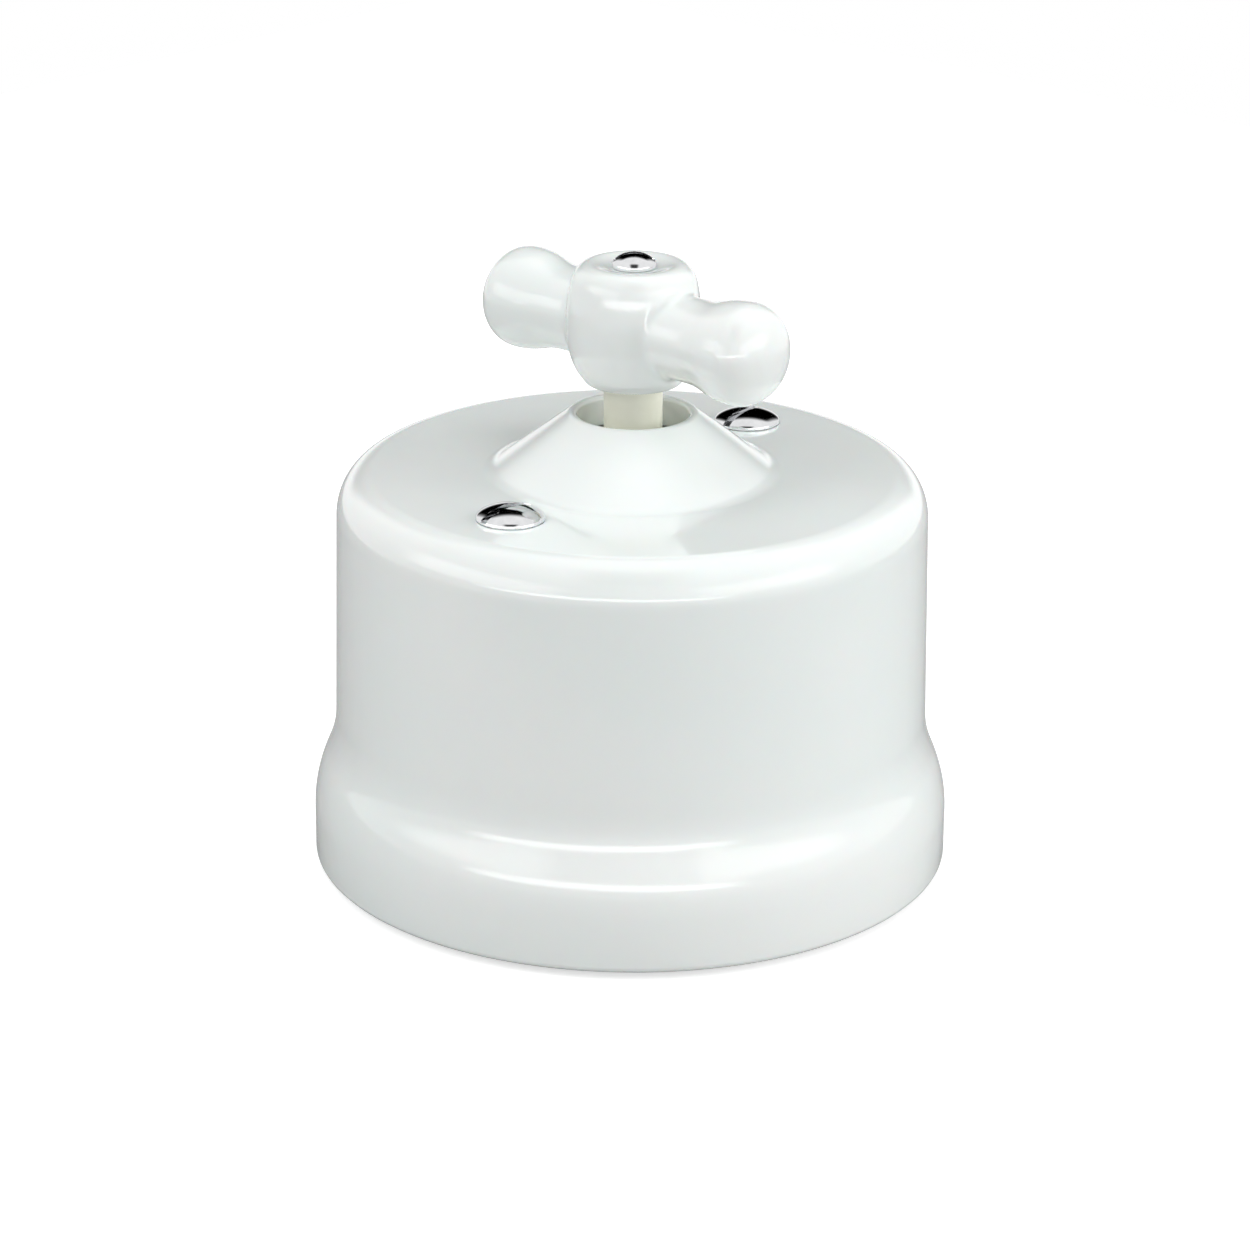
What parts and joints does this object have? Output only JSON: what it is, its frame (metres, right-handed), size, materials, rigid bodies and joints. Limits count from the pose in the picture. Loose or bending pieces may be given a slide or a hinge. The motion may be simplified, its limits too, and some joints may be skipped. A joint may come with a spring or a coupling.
{
  "type": "porcelain rotary switch",
  "caption": "Round surface-mounted porcelain light switch with a flared skirt, a raised collar and a two-lobed turning handle that clicks a snap mechanism on and off.",
  "frame": {"origin": "centre of the base's back face, on the wall plane", "axes": "+Z away from the wall along the spindle's axis, the handle along X at rest, +X towards one end of the handle"},
  "size_m": [0.065, 0.065, 0.064],
  "materials": {
    "glazed_porcelain": "glossy white glaze",
    "base_porcelain": "unglazed back, plain white",
    "chrome": "bright polished",
    "brass": "plain",
    "zinc_steel": "zinc plated",
    "spring_steel": "plain rolled",
    "silver": "silver contact buttons",
    "cream_plastic": "moulded, cream",
    "dark_plastic": "moulded, dark brown"
  },
  "bodies": {
    "switch_body": {"porcelain_cover": "glazed_porcelain", "porcelain_base": "base_porcelain", "cover_screws": "chrome", "cover_pillars": "brass", "pillar_screws": "zinc_steel", "mechanism_housing": "cream_plastic", "housing_screws": "zinc_steel", "mechanism_lid": "cream_plastic", "lid_screws": "zinc_steel", "contact_common": "brass", "contact_way_one": "brass", "contact_way_two": "brass", "fixed_contact_tips": "silver", "terminal_blocks": "brass", "terminal_screws": "zinc_steel", "detent_spring_front": "spring_steel", "detent_spring_back": "spring_steel"},
    "turning_set": {"handle": "glazed_porcelain", "handle_screw": "chrome", "spindle": "cream_plastic", "spindle_insert": "brass", "rotor": "dark_plastic", "contact_bridge": "brass", "bridge_tips": "silver", "pressure_spring": "spring_steel", "thrust_washer": "zinc_steel", "retaining_ring": "spring_steel"}
  },
  "joints": [
    {"name": "handle_turn", "type": "hinge", "parent": "switch_body", "child": "turning_set", "pos_m": [0, 0, 0.05], "axis": [0, 0, 1], "continuous": true, "deforming": ["detent_spring_front", "detent_spring_back"]}
  ]
}
